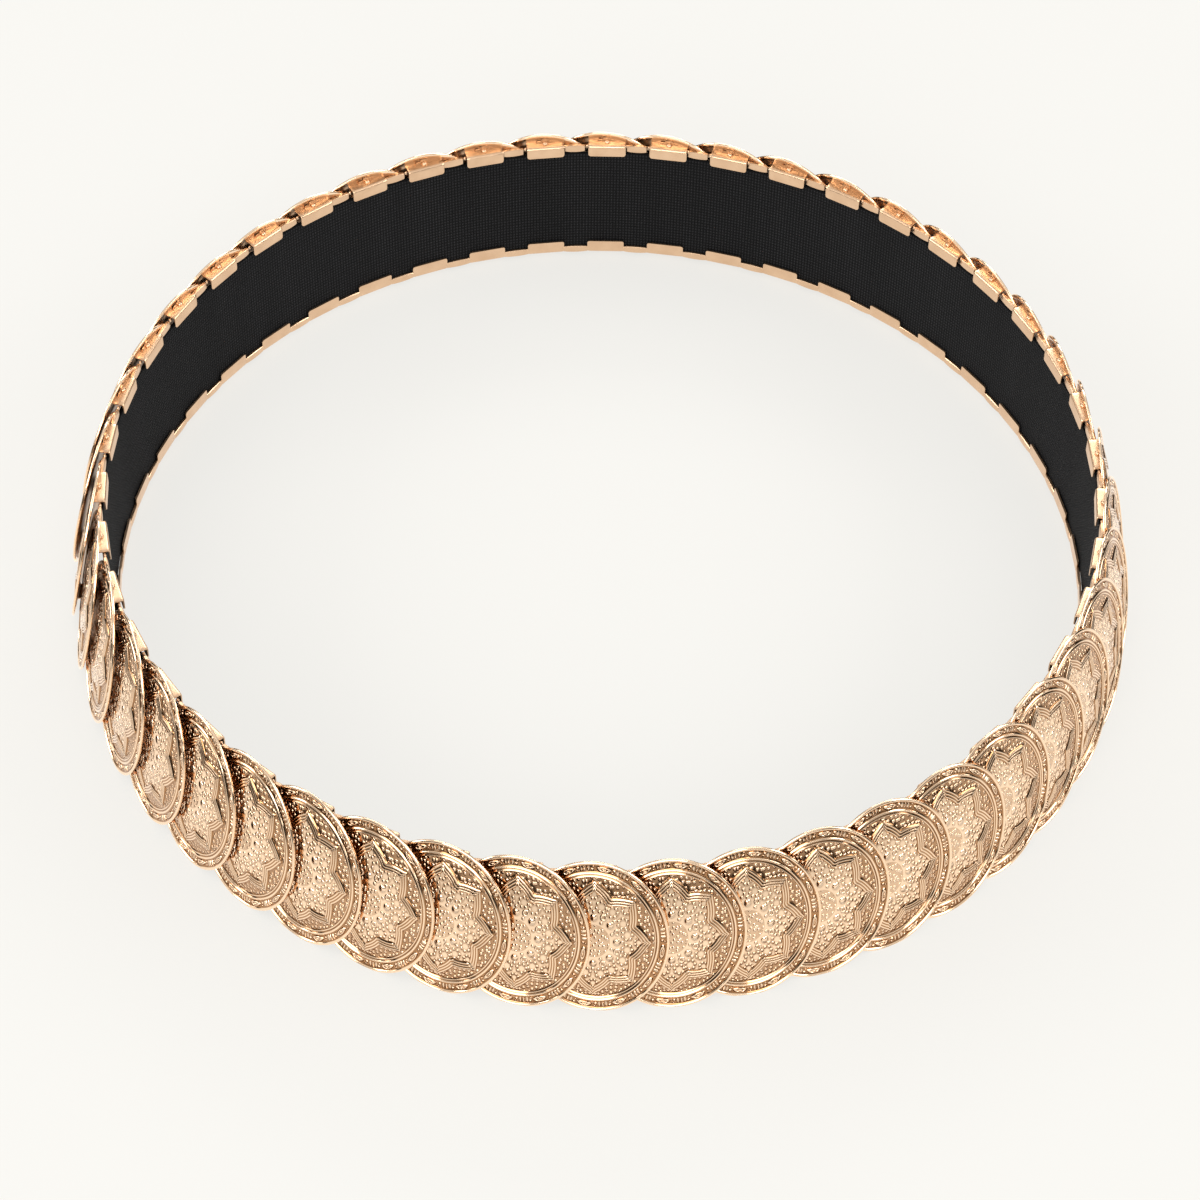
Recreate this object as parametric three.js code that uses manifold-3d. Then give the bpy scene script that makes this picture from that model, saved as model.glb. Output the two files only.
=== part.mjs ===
// A coin belt: overlapping embossed oval coins, clipped side by side on a wide woven elastic.
// Units are millimetres. +Z is up, -Y is the front, and the belt stands on the lower edges of its coins.
import * as THREE from 'three';
import { mergeVertices } from 'three/addons/utils/BufferGeometryUtils.js';
import Module from 'manifold-3d';

const wasm = await Module();
wasm.setup();

// Driving dimensions
const COIN_COUNT = 46;
const PITCH = 16; // from one coin to the next, along the inner faces of the clips
const COIN_WIDTH = 33;
const COIN_HEIGHT = 43;
const BELT_HEIGHT = 37; // over the folded clips, without the coins
const SHINGLE_TURN = THREE.MathUtils.degToRad(5.6); // each coin's right edge stands out over its neighbour
const COIN_LEAN = THREE.MathUtils.degToRad(12.2); // each coin's foot stands out from the band
const SEAM_GAP = 0.3;

// Sizes worked out from them
const LOOP_RADIUS = (COIN_COUNT * PITCH) / (2 * Math.PI);
const PITCH_ANGLE = (2 * Math.PI) / COIN_COUNT;
const CLIP_LENGTH = 0.61 * PITCH;
const CLIP_LEG = 0.24 * PITCH;
const CLIP_SHEET = 0.5;
const TONGUE_WIDTH = 0.3 * PITCH;
const LINK_SHEET = 0.5;
const LINK_HEIGHT = 1.2; // of the lower link
const LINK_INSET = 0.05;
const CLIP_TOP = BELT_HEIGHT / 2;
const ELASTIC_STEPS = 2 * COIN_COUNT;
const ELASTIC_THICKNESS = 1;
const CLIP_CORNER = Math.hypot(LOOP_RADIUS + CLIP_SHEET, CLIP_LENGTH / 2); // its reach towards the elastic
const ELASTIC_INSIDE = (CLIP_CORNER + SEAM_GAP) / Math.cos(Math.PI / ELASTIC_STEPS);
const ELASTIC_OUTSIDE = ELASTIC_INSIDE + ELASTIC_THICKNESS;
const ELASTIC_FOOT = CLIP_SHEET + SEAM_GAP - CLIP_TOP;
const ELASTIC_TOP = CLIP_TOP - 0.8 * CLIP_LEG; // its upper edge hangs in the clips, below their folds
const LINK_WALL = ELASTIC_OUTSIDE - (ELASTIC_THICKNESS + LINK_SHEET) / 2; // the upper link's inner face
const COIN_STAND_OFF = 0.392 * PITCH; // from the clips' inner faces to the middle of the coin's rim
const COIN_RAISE = 0.6; // of the coin's middle over the clips' middle
const COIN_STEPS = 16;
const REST_CUT = 0.25; // height worn off the coin's lowest edge
const FLAT_ERROR = 0.01; // needless points on flat faces are dropped within this distance

const ROSE_GOLD = { color: 0xc6925f, roughness: 0.28, metalness: 1 };

function solidOf(geometry) {
  const bare = geometry.clone();
  bare.deleteAttribute('normal');
  bare.deleteAttribute('uv');
  const merged = mergeVertices(bare, 1e-5);
  const vertProperties = new Float32Array(merged.attributes.position.array);
  const triVerts = new Uint32Array(merged.index.array);
  return new wasm.Manifold(new wasm.Mesh({ numProp: 3, vertProperties, triVerts }));
}

function geometryOf(solid) {
  const mesh = solid.getMesh();
  const geometry = new THREE.BufferGeometry();
  geometry.setAttribute('position', new THREE.BufferAttribute(new Float32Array(mesh.vertProperties), 3));
  geometry.setIndex(new THREE.BufferAttribute(new Uint32Array(mesh.triVerts), 1));
  geometry.computeVertexNormals();
  return geometry;
}

// A box between two corners, turned about the belt's axis
function block([x0, x1], [y0, y1], [z0, z1], turn = 0) {
  const geometry = new THREE.BoxGeometry(x1 - x0, y1 - y0, z1 - z0);
  geometry.translate((x0 + x1) / 2, (y0 + y1) / 2, (z0 + z1) / 2);
  geometry.rotateZ(turn);
  return solidOf(geometry);
}

// The coin's section, a domed sheet: height over the rim's plane, from the middle of its back to that of its face
const COIN_PROFILE = [
  { reach: 0, height: 0.95 },
  { reach: 0.55, height: 0.5 },
  { reach: 1, height: -0.15 },
  { reach: 1, height: 0.5 },
  { reach: 0.84, height: 0.6 },
  { reach: 0.5, height: 1.3 },
  { reach: 0, height: 1.6 },
];

// Across the coin, out of its face, and down it, for a coin on the +X side
function coinAxes() {
  const outward = new THREE.Vector3(Math.cos(COIN_LEAN), 0, Math.sin(COIN_LEAN));
  const down = new THREE.Vector3(Math.sin(COIN_LEAN), 0, -Math.cos(COIN_LEAN));
  const along = new THREE.Vector3(0, 1, 0);
  const across = along.clone().multiplyScalar(Math.cos(SHINGLE_TURN));
  across.addScaledVector(outward, Math.sin(SHINGLE_TURN));
  const face = outward.clone().multiplyScalar(Math.cos(SHINGLE_TURN));
  face.addScaledVector(along, -Math.sin(SHINGLE_TURN));
  return new THREE.Matrix4().makeBasis(across, face, down);
}

function coin() {
  const profile = COIN_PROFILE.map(({ reach, height }) => new THREE.Vector2(reach, height));
  const geometry = new THREE.LatheGeometry(profile, COIN_STEPS, Math.PI / COIN_STEPS);
  geometry.scale(COIN_WIDTH / 2, 1, COIN_HEIGHT / 2);
  geometry.applyMatrix4(coinAxes());
  geometry.translate(LOOP_RADIUS + COIN_STAND_OFF, 0, COIN_RAISE);
  return solidOf(geometry);
}

// How far out the plane of the coin's rim lies at a height
function coinReach(z) {
  return LOOP_RADIUS + COIN_STAND_OFF - (z - COIN_RAISE) * Math.tan(COIN_LEAN);
}

// Folded over the elastic's upper edge and soldered to the coin's back
function upperClip() {
  const sides = [-CLIP_LENGTH / 2, CLIP_LENGTH / 2];
  const fold = [CLIP_TOP - CLIP_SHEET, CLIP_TOP];
  const leg = block([LOOP_RADIUS, LOOP_RADIUS + CLIP_SHEET], sides, [CLIP_TOP - CLIP_LEG, CLIP_TOP]);
  return leg.add(block([LOOP_RADIUS, coinReach(CLIP_TOP)], sides, fold));
}

// Folded under the elastic's lower edge, with an outer leg, and a tongue that reaches out to the coin's back
function lowerClip() {
  const sides = [-CLIP_LENGTH / 2, CLIP_LENGTH / 2];
  const legHeights = [-CLIP_TOP, CLIP_LEG - CLIP_TOP];
  const fold = [-CLIP_TOP, CLIP_SHEET - CLIP_TOP];
  const outerLeg = ELASTIC_OUTSIDE + SEAM_GAP;
  const tongueSides = [-TONGUE_WIDTH / 2, TONGUE_WIDTH / 2];
  const inner = block([LOOP_RADIUS, LOOP_RADIUS + CLIP_SHEET], sides, legHeights);
  const outer = block([outerLeg, outerLeg + CLIP_SHEET], sides, legHeights);
  const under = block([LOOP_RADIUS, outerLeg + CLIP_SHEET], sides, fold);
  const tongue = block([LOOP_RADIUS, coinReach(-CLIP_TOP)], tongueSides, fold);
  return inner.add(outer).add(under).add(tongue);
}

// A short link between this clip and the next one on its left, along an edge of the elastic
function link([x0, x1], heights) {
  const space = PITCH - CLIP_LENGTH;
  const ends = [-space / 2 + SEAM_GAP, space / 2 + 2 * LINK_SHEET];
  return block([x0, x1], ends, heights, -PITCH_ANGLE / 2);
}

// A plate on edge over the elastic
function upperLink() {
  return link([LINK_WALL, LINK_WALL + LINK_SHEET], [ELASTIC_TOP + SEAM_GAP, CLIP_TOP - CLIP_SHEET / 2]);
}

// A plate on edge inside the elastic's foot
function lowerLink() {
  const foot = LINK_INSET - CLIP_TOP;
  return link([LOOP_RADIUS, LOOP_RADIUS + LINK_SHEET], [foot, foot + LINK_HEIGHT]);
}

function coinUnit() {
  const whole = coin().add(upperClip()).add(lowerClip()).add(upperLink()).add(lowerLink());
  const { min, max } = whole.boundingBox();
  const floor = min[2] + REST_CUT;
  const below = block([min[0] - 1, max[0] + 1], [min[1] - 1, max[1] + 1], [min[2] - 1, floor]);
  return { geometry: geometryOf(whole.subtract(below).simplify(FLAT_ERROR)), floor };
}

function elasticGeometry() {
  const section = [
    new THREE.Vector2(ELASTIC_INSIDE, ELASTIC_FOOT),
    new THREE.Vector2(ELASTIC_OUTSIDE, ELASTIC_FOOT),
    new THREE.Vector2(ELASTIC_OUTSIDE, ELASTIC_TOP),
    new THREE.Vector2(ELASTIC_INSIDE, ELASTIC_TOP),
    new THREE.Vector2(ELASTIC_INSIDE, ELASTIC_FOOT),
  ];
  const geometry = new THREE.LatheGeometry(section, ELASTIC_STEPS);
  geometry.rotateX(Math.PI / 2);
  return geometryOf(solidOf(geometry));
}

const unit = coinUnit();
const belt = new THREE.Group();
belt.name = 'coin_belt';

const elastic = new THREE.Mesh(
  elasticGeometry(),
  new THREE.MeshStandardMaterial({ color: 0x1c1c1e, roughness: 0.9, metalness: 0 }),
);
elastic.name = 'elastic_band';
elastic.position.z = -unit.floor;
belt.add(elastic);

// The first coin is at the front, and the rest follow to the right
for (let i = 0; i < COIN_COUNT; i += 1) {
  const piece = new THREE.Mesh(unit.geometry.clone(), new THREE.MeshStandardMaterial(ROSE_GOLD));
  piece.name = `coin_${String(i + 1).padStart(2, '0')}`;
  piece.rotation.z = -Math.PI / 2 + i * PITCH_ANGLE;
  piece.position.z = -unit.floor;
  belt.add(piece);
}

export default belt;
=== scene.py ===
"""A coin belt: embossed rose-gold coins, clipped side by side on a black woven elastic."""
import math

import bpy
import numpy as np
from mathutils import Matrix, Vector


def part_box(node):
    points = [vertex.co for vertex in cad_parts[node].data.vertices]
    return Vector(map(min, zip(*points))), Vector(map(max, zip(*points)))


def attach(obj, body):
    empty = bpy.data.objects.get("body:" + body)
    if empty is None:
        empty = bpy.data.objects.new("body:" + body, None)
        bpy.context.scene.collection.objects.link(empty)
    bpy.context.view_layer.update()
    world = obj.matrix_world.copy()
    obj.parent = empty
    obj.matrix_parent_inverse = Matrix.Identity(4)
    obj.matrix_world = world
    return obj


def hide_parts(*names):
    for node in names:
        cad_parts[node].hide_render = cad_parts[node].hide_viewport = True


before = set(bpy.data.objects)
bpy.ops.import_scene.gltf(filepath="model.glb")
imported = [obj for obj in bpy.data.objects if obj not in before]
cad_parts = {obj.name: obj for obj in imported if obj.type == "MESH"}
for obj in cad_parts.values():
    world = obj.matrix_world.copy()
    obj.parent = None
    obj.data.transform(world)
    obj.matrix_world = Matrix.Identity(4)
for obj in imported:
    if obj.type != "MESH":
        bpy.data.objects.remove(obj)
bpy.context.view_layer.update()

bl_info = {
    "name": "Coin belt",
    "version": (1, 0, 0),
    "blender": (4, 5, 0),
    "location": "View3D > Sidebar > Coin belt",
    "description": "Makes an elastic belt of embossed coins, its clips and links, and a plain studio",
    "category": "Add Mesh",
}

MM = 0.001
SEAM_GAP = 0.3 * MM
ELASTIC_THICKNESS = 1.0 * MM
COIN_NODES = sorted(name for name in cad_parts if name.startswith("coin_"))
COIN_COUNT = len(COIN_NODES)
PITCH_ANGLE = 2 * math.pi / COIN_COUNT
PETALS = 8
COIN_SIDES = 20 * PETALS


class CoinBeltSizes(bpy.types.PropertyGroup):
    """The sizes that a user would change, all in metres or radians."""

    pitch: bpy.props.FloatProperty(
        name="Pitch", description="From one clip to the next, along their inner faces",
        default=0.016, unit="LENGTH")
    belt_height: bpy.props.FloatProperty(
        name="Belt height", description="Over the folded clips, without the coins",
        default=0.037, unit="LENGTH")
    coin_width: bpy.props.FloatProperty(
        name="Coin width", description="Across one coin", default=0.033, unit="LENGTH")
    coin_height: bpy.props.FloatProperty(
        name="Coin height", description="Down one coin", default=0.043, unit="LENGTH")
    stand_off: bpy.props.FloatProperty(
        name="Coin stand-off", description="From the clips' inner faces to the middle of a coin's rim",
        default=0.006272, unit="LENGTH")
    coin_raise: bpy.props.FloatProperty(
        name="Coin raise", description="Height of a coin's middle over the clips' middle",
        default=0.0006, unit="LENGTH")
    shingle_turn: bpy.props.FloatProperty(
        name="Shingle turn", description="Turns each coin's right edge out over its neighbour",
        default=math.radians(5.6), subtype="ANGLE", unit="ROTATION")
    coin_lean: bpy.props.FloatProperty(
        name="Coin lean", description="Stands each coin's foot out from the band",
        default=math.radians(12.2), subtype="ANGLE", unit="ROTATION")
    dome: bpy.props.FloatProperty(
        name="Dome", description="Rise of a coin's middle over the field beside its ring",
        default=0.00115, unit="LENGTH")
    line_relief: bpy.props.FloatProperty(
        name="Line relief", description="Height of the star's raised lines", default=0.00026, unit="LENGTH")
    sheet: bpy.props.FloatProperty(
        name="Coin sheet", description="Thickness of the stamped sheet", default=0.0005, unit="LENGTH")
    clip_sheet: bpy.props.FloatProperty(
        name="Clip sheet", description="Thickness of the clips' sheet", default=0.0005, unit="LENGTH")
    thread: bpy.props.FloatProperty(
        name="Thread", description="From one thread of the elastic to the next",
        default=0.00082, unit="LENGTH")


class CoinBeltColours(bpy.types.PropertyGroup):
    """The colours and finishes that a user would change."""

    gold: bpy.props.FloatVectorProperty(
        name="Rose gold", description="Plating of the coins, clips and links",
        default=(0.97, 0.715, 0.495), size=3, min=0, max=1, subtype="COLOR")
    # This dark brown is partly the plating's own darker tone, at random and on the clips, and partly painted
    # shade in the ornament's hollows and grooves and on the coins' backs.
    tarnish_and_shade: bpy.props.FloatVectorProperty(
        name="Tarnish and shade", description="Painted shade in the ornament's hollows, and darker plating",
        default=(0.34, 0.155, 0.055), size=3, min=0, max=1, subtype="COLOR")
    polish: bpy.props.FloatProperty(
        name="Roughness", description="Roughness of the polished plating", default=0.13, min=0, max=1)
    elastic: bpy.props.FloatVectorProperty(
        name="Elastic", description="Black of the woven elastic",
        default=(0.012, 0.012, 0.0132), size=3, min=0, max=1, subtype="COLOR")
    floor: bpy.props.FloatVectorProperty(
        name="Floor", description="Pale studio floor", default=(0.939, 0.930, 0.896), size=3,
        min=0, max=1, subtype="COLOR")


# Places on the belt

def loop_radius(sizes):
    """Radius of the clips' inner faces: the whole loop over a full turn."""
    return COIN_COUNT * sizes.pitch / (2 * math.pi)


def middle_height():
    """Height of the middle of the clips over the floor: the elastic's foot hangs just inside their fold."""
    sizes = bpy.context.scene.coin_belt_sizes
    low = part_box("elastic_band")[0]
    return low[2] + sizes.belt_height / 2 - sizes.clip_sheet - SEAM_GAP


def coin_axes(sizes):
    """Across a coin, out of its face and down it, for a coin on the +X side of the belt."""
    lean = sizes.coin_lean
    turn = sizes.shingle_turn
    outward = np.array([math.cos(lean), 0, math.sin(lean)])
    down = np.array([math.sin(lean), 0, -math.cos(lean)])
    along = np.array([0.0, 1.0, 0.0])
    across = math.cos(turn) * along + math.sin(turn) * outward
    face = math.cos(turn) * outward - math.sin(turn) * along
    return across, face, down


def round_the_belt(points, index, turn=0.0):
    """Points of the unit on the +X side, turned to the place of one coin and lifted to the belt's middle."""
    angle = -math.pi / 2 + index * PITCH_ANGLE + turn
    x = points[..., 0] * math.cos(angle) - points[..., 1] * math.sin(angle)
    y = points[..., 0] * math.sin(angle) + points[..., 1] * math.cos(angle)
    z = np.maximum(points[..., 2] + middle_height(), 0)
    return np.stack([x, y, z], axis=-1)


# Meshes

def outward_faces(points, faces):
    """The faces, turned round if the closed shell that they make has a negative volume."""
    fans = [(face[0], face[k], face[k + 1]) for face in faces for k in range(1, len(face) - 1)]
    corners = points[np.array(fans)]
    volume = np.einsum("ij,ij->", corners[:, 0], np.cross(corners[:, 1], corners[:, 2]))
    return faces if volume > 0 else [face[::-1] for face in faces]


def mesh_of(name, points, faces, materials, smooth_angle=None):
    """A smooth-shaded mesh of these points and faces, with sharp edges past an angle if one is given."""
    mesh = bpy.data.meshes.new(name)
    mesh.from_pydata(points.tolist(), [], faces)
    mesh.shade_smooth()
    if smooth_angle is not None:
        mesh.set_sharp_from_angle(angle=smooth_angle)
    for material in materials:
        mesh.materials.append(material)
    return mesh


def piece_of(mesh, slot, *nodes):
    """An object for a mesh that is already in place. It rides on the belt and stands for these CAD nodes."""
    piece = bpy.data.objects.new(mesh.name, mesh)
    bpy.context.scene.collection.objects.link(piece)
    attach(piece, "root")
    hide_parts(*nodes)
    return piece


def wrapped_grid(rows, columns):
    """Quads of a grid whose last column joins its first one."""
    row, column = np.meshgrid(np.arange(rows - 1), np.arange(columns), indexing="ij")
    following = (column + 1) % columns
    quads = [row * columns + column, row * columns + following]
    quads += [(row + 1) * columns + following, (row + 1) * columns + column]
    return np.stack(quads, axis=-1).reshape(-1, 4)


# The coins. A reach, here and in the ornament, is a share of a coin's own radius.

STAR_TIP = 0.772
STAR_CUSP = 0.61
LINE_STEP = 0.034
RING_FOOT = 0.8
RING_FOOT_HEIGHT = 0.3 * MM
FIELD_DEPTH = 0.12 * MM
BORDER_UNITS = 12
BORDER_REACH = 0.916


def star_radius(angle):
    """Radius of the eight-pointed star at an angle round a coin, as a part of the coin's own radius.

    From cusp to tip, s runs from 0 to 1, the radius grows evenly and a petal's half angle shrinks as
    (1 - s to the 1.1) to the 1.3, which bulges a little at the cusp and runs to a point at the tip."""
    wedge = math.pi / PETALS
    folded = np.abs((angle + wedge) % (2 * wedge) - wedge)
    step = np.linspace(1, 0, 400)
    half_angle = wedge * (1 - step ** 1.1) ** 1.3
    return np.interp(folded, half_angle, STAR_CUSP + (STAR_TIP - STAR_CUSP) * step)


def dome_height(reach, sizes):
    """Height of a coin's ground over its middle plane: a dome that falls with the square of the reach."""
    return RING_FOOT_HEIGHT + sizes.dome * (1 - (reach / RING_FOOT) ** 2)


def border_relief(angle):
    """Swelling of the border's ornament round a coin: in each unit, a long smooth hump under the eye, and
    three short ones under the bars and the beads beside them, each the positive part of a cosine."""
    unit = 2 * math.pi / BORDER_UNITS
    share = (angle % unit) / unit
    swelling = np.zeros_like(angle)
    humps = ((0.25, 0.2, 1.0), (0.53, 0.075, 0.7), (0.7, 0.09, 0.85), (0.9, 0.08, 0.7))
    for place, half_length, height in humps:
        way = np.clip((share - place) / half_length, -1, 1)
        swelling = np.maximum(swelling, height * np.cos(way * math.pi / 2))
    return swelling


def coin_levels(angle, sizes):
    """Rings of points from the middle of a coin's face over its rim to the middle of its back, and how many
    of them lie on the face and rim.

    Each ring gives its reach and height at each angle, and what lies there: the field of beads between
    star and ring, the ground inside the star, the border, or a groove."""
    star = star_radius(angle)
    slope = np.gradient(np.concatenate([star[-1:], star, star[:1]]))[1:-1] / (angle[1] - angle[0])
    spread = np.minimum(np.hypot(1, slope / star), 1.7) * LINE_STEP
    level = np.ones_like(angle)
    relief = sizes.line_relief
    rings = []

    def ring(reach, height, field=0.0, ground=0.0, border=0.0, groove=0.0):
        kinds = (field * level, ground * level, border * level, groove * level)
        rings.append((reach * level, height * level, kinds))

    inside = star - 3 * spread
    for part in (0.1, 0.25, 0.4, 0.55, 0.7, 0.85, 0.97):
        ring(part * inside, dome_height(part * inside, sizes), ground=1)
    ring(inside, dome_height(inside, sizes), groove=1)
    for line in (2, 1, 0):
        for across_line, rise, groove in ((0.7, relief, 0), (0.4, relief, 0), (0, -0.1 * relief, 1)):
            reach = star - (line + across_line) * spread
            ring(reach, dome_height(reach, sizes) + rise, groove=groove)
    for part in (0.06, 0.5, 0.94):
        reach = star + part * (RING_FOOT - star)
        ring(reach, dome_height(reach, sizes) - FIELD_DEPTH, field=1)
    ring(RING_FOOT, 0.2 * MM, groove=1)
    double_ring = ((0.807, 0.42, 0), (0.815, 0.44, 0), (0.824, 0.12, 1), (0.832, 0.14, 1),
                   (0.84, 0.44, 0), (0.85, 0.5, 0), (0.86, 0.42, 0), (0.869, 0.04, 1))
    for reach, height, groove in double_ring:
        ring(reach, height * MM, groove=groove)
    scroll = border_relief(angle)
    for reach, share in ((0.884, 0.5), (0.9, 0.95), (BORDER_REACH, 1.0), (0.932, 0.95), (0.948, 0.5)):
        ring(reach, (0.06 + 0.42 * share * scroll) * MM, border=1)
    ring(0.959, 0.08 * MM, groove=1)
    rim = ((0.966, 0.38), (0.973, 0.48), (0.985, 0.5), (0.994, 0.42), (1, 0.28), (1, -0.02))
    for reach, height in rim:
        ring(reach, height * MM)
    face_rings = len(rings)
    back = ((0.994, -0.11), (0.977, -0.15), (0.955, -0.14), (0.942, -0.04))
    for reach, height in back:
        ring(reach, height * MM)
    for reach in (0.925, 0.89):
        ring(reach, (-0.06 + 0.1 * scroll) * MM)
    for reach, height in ((0.872, -0.14), (0.856, -0.16), (0.838, -0.02), (0.81, -0.02)):
        ring(reach, height * MM)
    for reach in (0.78, 0.6, 0.3):
        ring(reach, dome_height(reach, sizes) - sizes.sheet)
    return rings, face_rings


def coin_surface(sizes):
    """Points, flat places and ornament kinds of one coin on the +X side, before it is placed, and the number
    of its rings in all and on the face and rim.

    A point lies at the coin's middle, plus reach times half the width times the cosine of the angle
    across it, plus reach times half the height times the sine down it, plus its height out of the face."""
    angle = np.arange(COIN_SIDES) * 2 * math.pi / COIN_SIDES
    rings, face_rings = coin_levels(angle, sizes)
    reach = np.array([ring[0] for ring in rings])
    height = np.array([ring[1] for ring in rings])
    kinds = np.array([ring[2] for ring in rings]).transpose(0, 2, 1).reshape(-1, 4)
    flat = np.stack([reach * np.cos(angle), reach * np.sin(angle)], axis=-1).reshape(-1, 2)
    middles = [dome_height(0, sizes), dome_height(0, sizes) - sizes.sheet]
    flat = np.vstack([flat, np.zeros((2, 2))])
    kinds = np.vstack([kinds, [[0, 1, 0, 0], [0, 0, 0, 0]]])
    height = np.concatenate([height.reshape(-1), middles])
    across, face, down = coin_axes(sizes)
    middle = np.array([loop_radius(sizes) + sizes.stand_off, 0, sizes.coin_raise])
    points = middle + np.outer(flat[:, 0] * sizes.coin_width / 2, across)
    points += np.outer(flat[:, 1] * sizes.coin_height / 2, down) + np.outer(height, face)
    return points, flat, kinds, len(rings), face_rings


def coin_faces(rows):
    """Quads between the rings of a coin, and a fan of triangles at the middle of each side."""
    front = rows * COIN_SIDES
    column = np.arange(COIN_SIDES)
    following = (column + 1) % COIN_SIDES
    last = (rows - 1) * COIN_SIDES
    fan = np.stack([np.full(COIN_SIDES, front), following, column], axis=-1)
    back_fan = np.stack([last + column, last + following, np.full(COIN_SIDES, front + 1)], axis=-1)
    return wrapped_grid(rows, COIN_SIDES).tolist() + fan.tolist() + back_fan.tolist()


# Clips and links

# Widths and legs are shares of the pitch, and sheets are shares of the clips' sheet.
CLIP_WIDTH = 0.61
CLIP_LEG = 0.24
UPPER_LEG = 0.21
TONGUE_WIDTH = 0.3
TONGUE_SHEET = 0.96
TAB_SHEET = 0.6

FOLD_RADIUS = 0.4 * MM
CLIP_CORNER = 0.6 * MM
TONGUE_CORNER = 0.4 * MM
TONGUE_LAP = 0.5 * MM
TONGUE_BITE = 0.1 * MM
TAB_BEHIND_RIM = 0.2 * MM
RIVET = (0.7 * MM, 0.75 * MM, 0.6 * MM)
RIVET_REACH = 1.75 * MM
RIVET_RISE = 0.15 * MM
LINK_LAP = 0.5 * MM


def folded_path(corners, radius, steps=4):
    """Points along straight runs between these corners, each bend rounded as an arc of a circle."""
    corners = [np.array(corner, float) for corner in corners]
    path = [corners[0]]
    for before, corner, after in zip(corners, corners[1:], corners[2:]):
        arrive = (before - corner) / np.linalg.norm(before - corner)
        leave = (after - corner) / np.linalg.norm(after - corner)
        centre = corner + radius * (arrive + leave)
        share = np.linspace(0, math.pi / 2, steps + 1)[:, None]
        path.extend(centre - radius * (leave * np.cos(share) + arrive * np.sin(share)))
    path.append(corners[-1])
    return np.array(path)


END_STATIONS = np.array([0, 0.02, 0.06, 0.14, 0.26, 0.42])
END_THINNING = np.array([0.5, 0.82, 1, 1, 1, 1])


def strip_surface(path, sheet, width, corner, coin_turn=0.0):
    """A strip of sheet metal that follows a path in the x-z plane and is as wide as the belt runs, with
    softened edges.

    A point lies on the path, plus or minus half the sheet along the path's normal, at its station across
    the strip. Near the strip's two sides the sheet is thinner and the path's first run is shorter, by the
    drop of a quarter circle. The path's end is carried along the coin's turned plane."""
    share = np.concatenate([END_STATIONS, 1 - END_STATIONS[::-1]])
    thinning = np.concatenate([END_THINNING, END_THINNING[::-1]])
    station = (share - 0.5) * width
    along = np.gradient(path, axis=0)
    along /= np.linalg.norm(along, axis=1)[:, None]
    normal = np.stack([-along[:, 1], along[:, 0]], axis=-1)
    sides = np.concatenate([path + normal * sheet / 2, (path - normal * sheet / 2)[::-1]])
    centre = np.concatenate([path, path[::-1]])
    loop = centre + (sides - centre) * thinning[:, None, None]
    run = np.linalg.norm(path[1] - path[0])
    over = np.clip(np.abs(station) - (width / 2 - corner), 0, corner)
    drop = corner - np.sqrt(corner ** 2 - over ** 2)
    first_run = np.zeros(len(path))
    first_run[0] = 1
    weight = np.concatenate([first_run, first_run[::-1]])
    loop += (drop[:, None] * weight)[..., None] * (path[1] - path[0]) / run
    reach = np.concatenate([np.zeros(len(path) - 1), [1, 1], np.zeros(len(path) - 1)])
    loop[..., 0] += station[:, None] * math.tan(coin_turn) * reach
    y = np.broadcast_to(station[:, None], loop.shape[:2])
    points = np.stack([loop[..., 0], y, loop[..., 1]], axis=-1)
    rows, columns = points.shape[:2]
    points = points.reshape(-1, 3)
    faces = wrapped_grid(rows, columns).tolist()
    for start in (0, (rows - 1) * columns):
        for k in range(len(path) - 1):
            cap = [start + k, start + k + 1, start + columns - 2 - k, start + columns - 1 - k]
            faces.append(cap if start == 0 else cap[::-1])
    return points, outward_faces(points, faces)


def joined(surfaces):
    """Several closed surfaces as one list of points and one list of faces."""
    points = []
    faces = []
    count = 0
    for surface_points, surface_faces in surfaces:
        points.append(surface_points)
        faces += [[corner + count for corner in face] for face in surface_faces]
        count += len(surface_points)
    return np.vstack(points), faces


def elastic_radii():
    """Inner and outer radius of the elastic, from its CAD node."""
    low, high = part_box("elastic_band")
    outside = (high[0] - low[0]) / 2
    return outside - ELASTIC_THICKNESS, outside


def coin_plane(height, sizes):
    """How far out the plane of a coin's rim lies at a height over the clips' middle."""
    return loop_radius(sizes) + sizes.stand_off - (height - sizes.coin_raise) * math.tan(sizes.coin_lean)


def clip_surface(sizes):
    """The clips of one coin on the +X side: strips folded over the elastic's edges, a tongue that reaches
    out to the coin's back, a pointed tab up that back, and a round rivet."""
    radius = loop_radius(sizes)
    top = sizes.belt_height / 2
    sheet = sizes.clip_sheet
    width = CLIP_WIDTH * sizes.pitch
    leg = CLIP_LEG * sizes.pitch
    upper_leg = UPPER_LEG * sizes.pitch
    inner = radius + sheet / 2
    outer_leg = elastic_radii()[1] + SEAM_GAP + sheet / 2
    level = top - sheet / 2
    upper = [(inner, top - upper_leg), (inner, level), (coin_plane(level, sizes), level)]
    under = [(inner, leg - top), (inner, -level), (outer_leg, -level), (outer_leg, leg - top)]
    foot = coin_plane(-level, sizes) + TONGUE_BITE
    tongue = [(outer_leg - TONGUE_LAP, -level), ((outer_leg + foot) / 2, -level), (foot, -level)]
    tongue_width = TONGUE_WIDTH * sizes.pitch
    turn = sizes.shingle_turn
    return joined([
        strip_surface(folded_path(upper, FOLD_RADIUS), sheet, width, CLIP_CORNER, turn),
        strip_surface(folded_path(under, FOLD_RADIUS), sheet, width, CLIP_CORNER),
        strip_surface(np.array(tongue), sheet * TONGUE_SHEET, tongue_width, TONGUE_CORNER, turn),
        tab_surface(sizes),
        bead_surface((radius + RIVET_REACH, 0, top + RIVET_RISE), RIVET, 12),
    ])


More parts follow.
